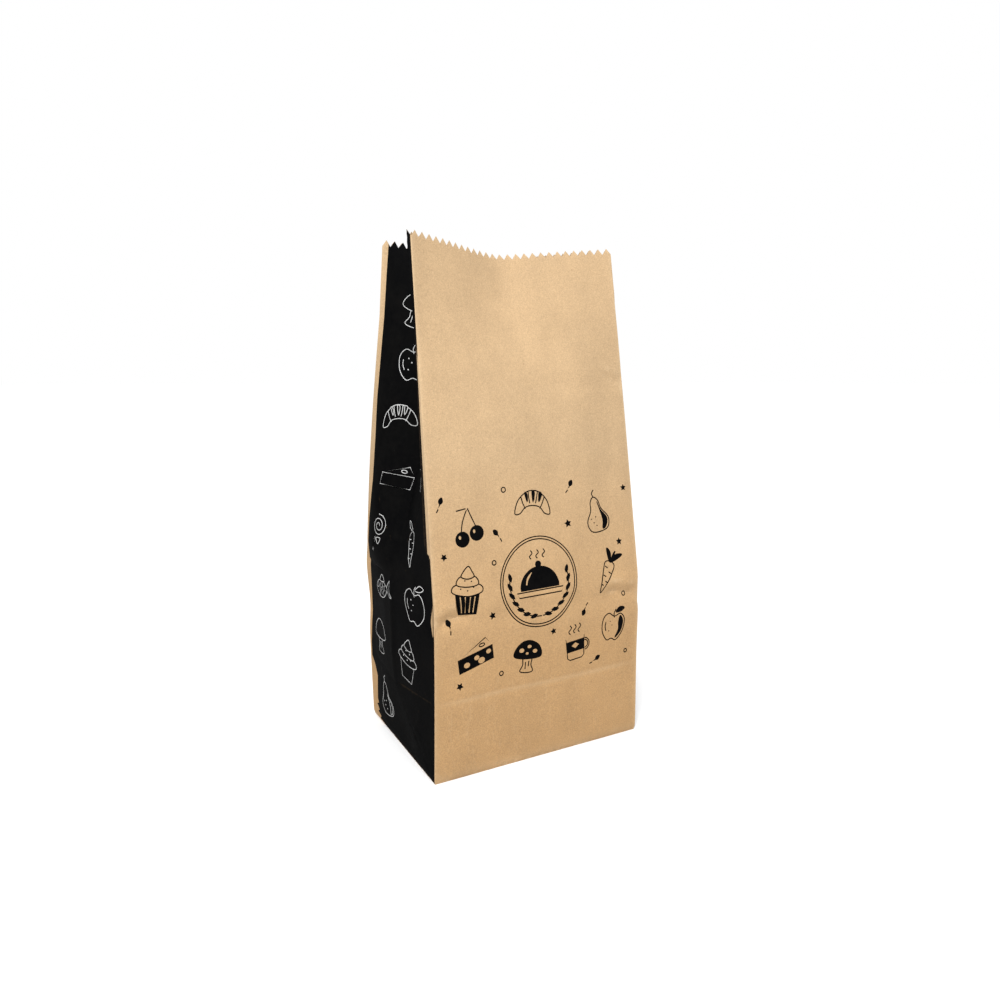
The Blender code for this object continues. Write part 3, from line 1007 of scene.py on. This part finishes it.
def paper_grain_group():
    """The paper itself: cloudy formation, fine grain, long fibres, dark flecks and its relief."""
    tree, _, ends = new_group("paper_grain", (), (
        ("Clouds", "NodeSocketFloat"), ("Grain", "NodeSocketFloat"), ("Fibres", "NodeSocketFloat"),
        ("Flecks", "NodeSocketFloat"), ("Relief", "NodeSocketFloat")))
    plain = scaled_place(tree, (1, 1, 1))
    machine = scaled_place(tree, (1500, 1500, 190))
    cross = scaled_place(tree, (330, 330, 1300))

    wide = add_noise(tree, plain, 75, 4, 0.6)
    close = add_noise(tree, plain, 330, 3, 0.6)
    clouds = math_node(tree, "ADD", math_node(tree, "MULTIPLY", wide, 0.62),
                       math_node(tree, "MULTIPLY", close, 0.38))
    grain = add_noise(tree, plain, 1500, 3, 0.7)
    long_fibres = ramp(tree, add_noise(tree, machine, 1, 2, 0.5), 0.58, 0.74)
    short_fibres = ramp(tree, add_noise(tree, cross, 1, 2, 0.5), 0.62, 0.78)
    fibres = math_node(tree, "MAXIMUM", long_fibres, short_fibres)
    cells = tree.nodes.new("ShaderNodeTexVoronoi")
    cells.inputs["Scale"].default_value = 210
    tree.links.new(scaled_place(tree, DRAWN_OUT), cells.inputs["Vector"])
    spots = ramp(tree, cells.outputs["Distance"], 0.085, 0.03)
    some = ramp(tree, add_noise(tree, plain, 160, 1, 0.5), 0.52, 0.60)
    flecks = math_node(tree, "MULTIPLY", spots, some)
    relief_sum = math_node(tree, "ADD", math_node(tree, "MULTIPLY", grain, 0.6),
                           math_node(tree, "MULTIPLY", fibres, 0.3))
    relief_all = math_node(tree, "ADD", relief_sum,
                           math_node(tree, "MULTIPLY", close, 1.4))
    for label, value in (("Clouds", clouds), ("Grain", grain), ("Fibres", fibres),
                         ("Flecks", flecks), ("Relief", relief_all)):
        tree.links.new(value, ends.inputs[label])
    return tree


def worn_edge_group():
    """How much of a fold, crease or cut edge is rubbed: broken up along its length."""
    tree, starts, ends = new_group("worn_edge", (("Wear", "NodeSocketFloat", 0.0),
                                                 ("Breakup", "NodeSocketFloat", 0.5)),
                                   (("Rubbed", "NodeSocketFloat"),))
    plain = scaled_place(tree, (1, 1, 1))
    patches = ramp(tree, add_noise(tree, plain, 420, 3, 0.65), 0.30, 0.72)
    scaled = math_node(tree, "MULTIPLY", patches, starts.outputs["Breakup"])
    kept = math_node(tree, "SUBTRACT", 1.0, scaled)
    rubbed = math_node(tree, "MULTIPLY", starts.outputs["Wear"], kept)
    tree.links.new(rubbed, ends.inputs["Rubbed"])
    return tree


PAPER_GRAIN = paper_grain_group()
WORN_EDGE = worn_edge_group()


def paper_nodes(name, roughness_level, specular):
    """A material with the paper's grain and wear groups placed in it."""
    material = bpy.data.materials.new(name)
    material.use_nodes = True
    tree = material.node_tree
    shader = tree.nodes["Principled BSDF"]
    shader.inputs["Metallic"].default_value = 0.0
    shader.inputs["Specular IOR Level"].default_value = specular
    shader.inputs["Roughness"].default_value = roughness_level
    grain = tree.nodes.new("ShaderNodeGroup")
    grain.node_tree = PAPER_GRAIN
    wear = tree.nodes.new("ShaderNodeAttribute")
    wear.attribute_name = "wear"
    rubbed = tree.nodes.new("ShaderNodeGroup")
    rubbed.node_tree = WORN_EDGE
    tree.links.new(wear.outputs["Fac"], rubbed.inputs["Wear"])
    return material, tree, shader, grain, rubbed


def add_relief(tree, shader, height, strength, distance):
    bump = tree.nodes.new("ShaderNodeBump")
    bump.inputs["Strength"].default_value = strength
    bump.inputs["Distance"].default_value = distance
    tree.links.new(height, bump.inputs["Height"])
    tree.links.new(bump.outputs["Normal"], shader.inputs["Normal"])


def kraft_material(name, lower, upper, fleck, bright, strength):
    """Bare brown paper: cloudy, grainy, with pale fibres, dark flecks and paler rubbed folds.

    It is a little paler and greyer towards the mouth: painted sheen, the light on its upper part painted
    into its colour.
    """
    material, tree, shader, grain, rubbed = paper_nodes(name, 0.80, 0.30)
    place = tree.nodes.new("ShaderNodeSeparateXYZ")
    tree.links.new(scaled_place(tree, (1, 1, 1)), place.inputs["Vector"])
    # painted sheen: between these heights the colour goes from lower to the paler, greyer upper, standing
    # in for light on the upper part
    painted_sheen = ramp(tree, place.outputs["Z"], 0.055, 0.165)
    colour = mix_colour(tree, painted_sheen, lower, upper)
    clouds = ramp(tree, grain.outputs["Clouds"], 0.30, 0.70, 0.94, 1.05)
    colour = mix_colour(tree, 1.0, colour, clouds, "MULTIPLY")
    broad = add_noise(tree, scaled_place(tree, DRAWN_OUT), 34, 2, 0.5)
    patches = ramp(tree, broad, 0.34, 0.66, 0.955, 1.04)
    colour = mix_colour(tree, 1.0, colour, patches, "MULTIPLY")
    speckle = ramp(tree, grain.outputs["Grain"], 0.30, 0.70, 0.82, 1.17)
    colour = mix_colour(tree, 1.0, colour, speckle, "MULTIPLY")
    light_fibre = math_node(tree, "MULTIPLY", grain.outputs["Fibres"], 0.15)
    colour = mix_colour(tree, light_fibre, colour, bright)
    dark_fleck = math_node(tree, "MULTIPLY", grain.outputs["Flecks"], 0.50)
    colour = mix_colour(tree, dark_fleck, colour, fleck)
    rubbing = math_node(tree, "MULTIPLY", rubbed.outputs["Rubbed"], 0.50)
    colour = mix_colour(tree, rubbing, colour, bright)
    tree.links.new(colour, shader.inputs["Base Color"])
    rough = ramp(tree, grain.outputs["Clouds"], 0.3, 0.7, 0.76, 0.90)
    tree.links.new(rough, shader.inputs["Roughness"])
    add_relief(tree, shader, grain.outputs["Relief"], strength, 0.00022)
    return material


def ink_material(name, ink, thin, bare_paper, sheen, roughness_low, cover):
    """Ink printed on the paper: it follows the grain, is thin in places and rubs off on folds."""
    material, tree, shader, grain, rubbed = paper_nodes(name, roughness_low, sheen)
    thinness = ramp(tree, grain.outputs["Clouds"], 0.42, 0.68)
    colour = mix_colour(tree, thinness, ink, thin)
    pinholes = ramp(tree, grain.outputs["Grain"], 0.70, 0.82)
    missed = math_node(tree, "MULTIPLY", pinholes, cover)
    colour = mix_colour(tree, missed, colour, bare_paper)
    rubbing = ramp(tree, rubbed.outputs["Rubbed"], 0.30, 1.0, 0.0, 0.30)
    colour = mix_colour(tree, rubbing, colour, bare_paper)
    tree.links.new(colour, shader.inputs["Base Color"])
    rough = ramp(tree, grain.outputs["Clouds"], 0.3, 0.7, roughness_low, roughness_low + 0.16)
    tree.links.new(rough, shader.inputs["Roughness"])
    add_relief(tree, shader, grain.outputs["Relief"], 0.30, 0.00016)
    return material


# kraft colours at the foot and at the mouth: the paler, greyer upper colours are painted sheen, light on
# the upper part painted into the paper
LOWER_KRAFT = (0.500, 0.303, 0.139, 1)
UPPER_KRAFT_PAINTED_SHEEN = (0.520, 0.357, 0.200, 1)
LOWER_INSIDE = (0.460, 0.278, 0.131, 1)
UPPER_INSIDE_PAINTED_SHEEN = (0.480, 0.330, 0.190, 1)
BRIGHT_KRAFT = (0.700, 0.520, 0.325, 1)
FLECK_BROWN = (0.240, 0.125, 0.055, 1)

# both kraft materials carry the painted sheen towards the mouth
MATERIALS = {
    "kraft": kraft_material("kraft_outside", LOWER_KRAFT, UPPER_KRAFT_PAINTED_SHEEN, FLECK_BROWN, BRIGHT_KRAFT, 0.6),
    "black": ink_material("black_ink", (0.0022, 0.0022, 0.0024, 1), (0.0046, 0.0044, 0.0042, 1),
                          (0.16, 0.10, 0.05, 1), 0.02, 0.62, 0.03),
    "white": ink_material("white_ink", (0.66, 0.66, 0.65, 1), (0.42, 0.42, 0.41, 1),
                          (0.10, 0.10, 0.10, 1), 0.30, 0.60, 0.35),
    "inside": kraft_material("kraft_inside", LOWER_INSIDE, UPPER_INSIDE_PAINTED_SHEEN, FLECK_BROWN, BRIGHT_KRAFT, 0.7),
}


def floor_material():
    """A pale matt studio floor with a faint mottle, which throws back less light than it shows."""
    material = bpy.data.materials.new("studio_floor")
    material.use_nodes = True
    tree = material.node_tree
    shader = tree.nodes["Principled BSDF"]
    plain = scaled_place(tree, (1, 1, 1))
    shade = add_noise(tree, plain, 9, 3, 0.5)
    colour = mix_colour(tree, shade, FLOOR_DEEP, FLOOR_PALE)
    seen = tree.nodes.new("ShaderNodeLightPath")
    colour = mix_colour(tree, seen.outputs["Is Camera Ray"], FLOOR_BOUNCE, colour)
    tree.links.new(colour, shader.inputs["Base Color"])
    tree.links.new(ramp(tree, shade, 0.3, 0.7, 0.80, 0.92), shader.inputs["Roughness"])
    shader.inputs["Specular IOR Level"].default_value = 0.2
    return material


# ================================================================================================
# The studio
# ================================================================================================
FLOOR_DEEP = (0.92, 0.92, 0.92, 1)
FLOOR_PALE = (0.95, 0.95, 0.95, 1)
FLOOR_BOUNCE = (0.55, 0.55, 0.55, 1)
FLOOR_SIZE = 60.0
SKY_SEEN = 1.0
SKY_LIGHT = 0.40
CAMERA_PLACE = (-0.2067, -0.3265, 0.2040)
CAMERA_TURN = 25.15        # degrees to the right of straight ahead
CAMERA_DIP = 7.65          # degrees below level
FOCAL_SHARE = 0.675        # focal length over picture width
VIEW_SHIFT = (0.080, -0.030)
# each soft light: place, aimed at, size, power in watts
LIGHTS = (
    ("key", (-0.62, -0.60, 0.80), (0.0, 0.0, 0.20), 0.34, 9.0),
    ("right", (0.75, -1.30, 0.80), (0.0, 0.0, 0.20), 1.0, 2.5),
)
OVERHEAD = 2.26            # the even light from straight above, in watts a square metre
OVERHEAD_SPREAD = math.radians(70)


def add_floor():
    bpy.ops.mesh.primitive_plane_add(size=FLOOR_SIZE, location=(0, 0, FLOOR_LEVEL - 0.00005))
    floor = bpy.context.active_object
    floor.name = "studio_floor"
    floor.data.materials.append(floor_material())


def add_lights():
    world = bpy.data.worlds.new("studio")
    bpy.context.scene.world = world
    world.use_nodes = True
    tree = world.node_tree
    light_path = tree.nodes.new("ShaderNodeLightPath")
    strength = ramp(tree, light_path.outputs["Is Camera Ray"], 0, 1, SKY_LIGHT, SKY_SEEN)
    tree.nodes["Background"].inputs["Color"].default_value = (1.0, 1.0, 1.0, 1)
    tree.links.new(strength, tree.nodes["Background"].inputs["Strength"])
    sun = bpy.data.lights.new("overhead", "SUN")
    sun.energy = OVERHEAD
    sun.angle = OVERHEAD_SPREAD
    bpy.context.scene.collection.objects.link(bpy.data.objects.new("overhead", sun))
    for name, place, aim, size, power in LIGHTS:
        data = bpy.data.lights.new(name, "AREA")
        data.shape = "DISK"
        data.size = size
        data.energy = power
        lamp = bpy.data.objects.new(name, data)
        lamp.location = place
        lamp.rotation_euler = (Vector(aim) - Vector(place)).to_track_quat("-Z", "Y").to_euler()
        bpy.context.scene.collection.objects.link(lamp)


def plain_colours():
    """Colours come out as lit, with no film curve."""
    bpy.context.scene.view_settings.view_transform = "Standard"


def add_camera():
    data = bpy.data.cameras.new("camera")
    data.sensor_width = 36.0
    data.lens = FOCAL_SHARE * data.sensor_width
    data.shift_x, data.shift_y = VIEW_SHIFT
    camera = bpy.data.objects.new("camera", data)
    camera.location = CAMERA_PLACE
    camera.rotation_euler = (math.radians(90 - CAMERA_DIP), 0, -math.radians(CAMERA_TURN))
    bpy.context.scene.collection.objects.link(camera)
    bpy.context.scene.camera = camera


plain_colours()
add_camera()
add_lights()
add_floor()

bag = paper_sheet()
pieces = [bag,
          bottom_flap("front_bottom_flap", True, PAPER),
          bottom_flap("back_bottom_flap", False, 0.0)]
for piece in pieces:
    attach(piece, "root")
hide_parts(NODE)
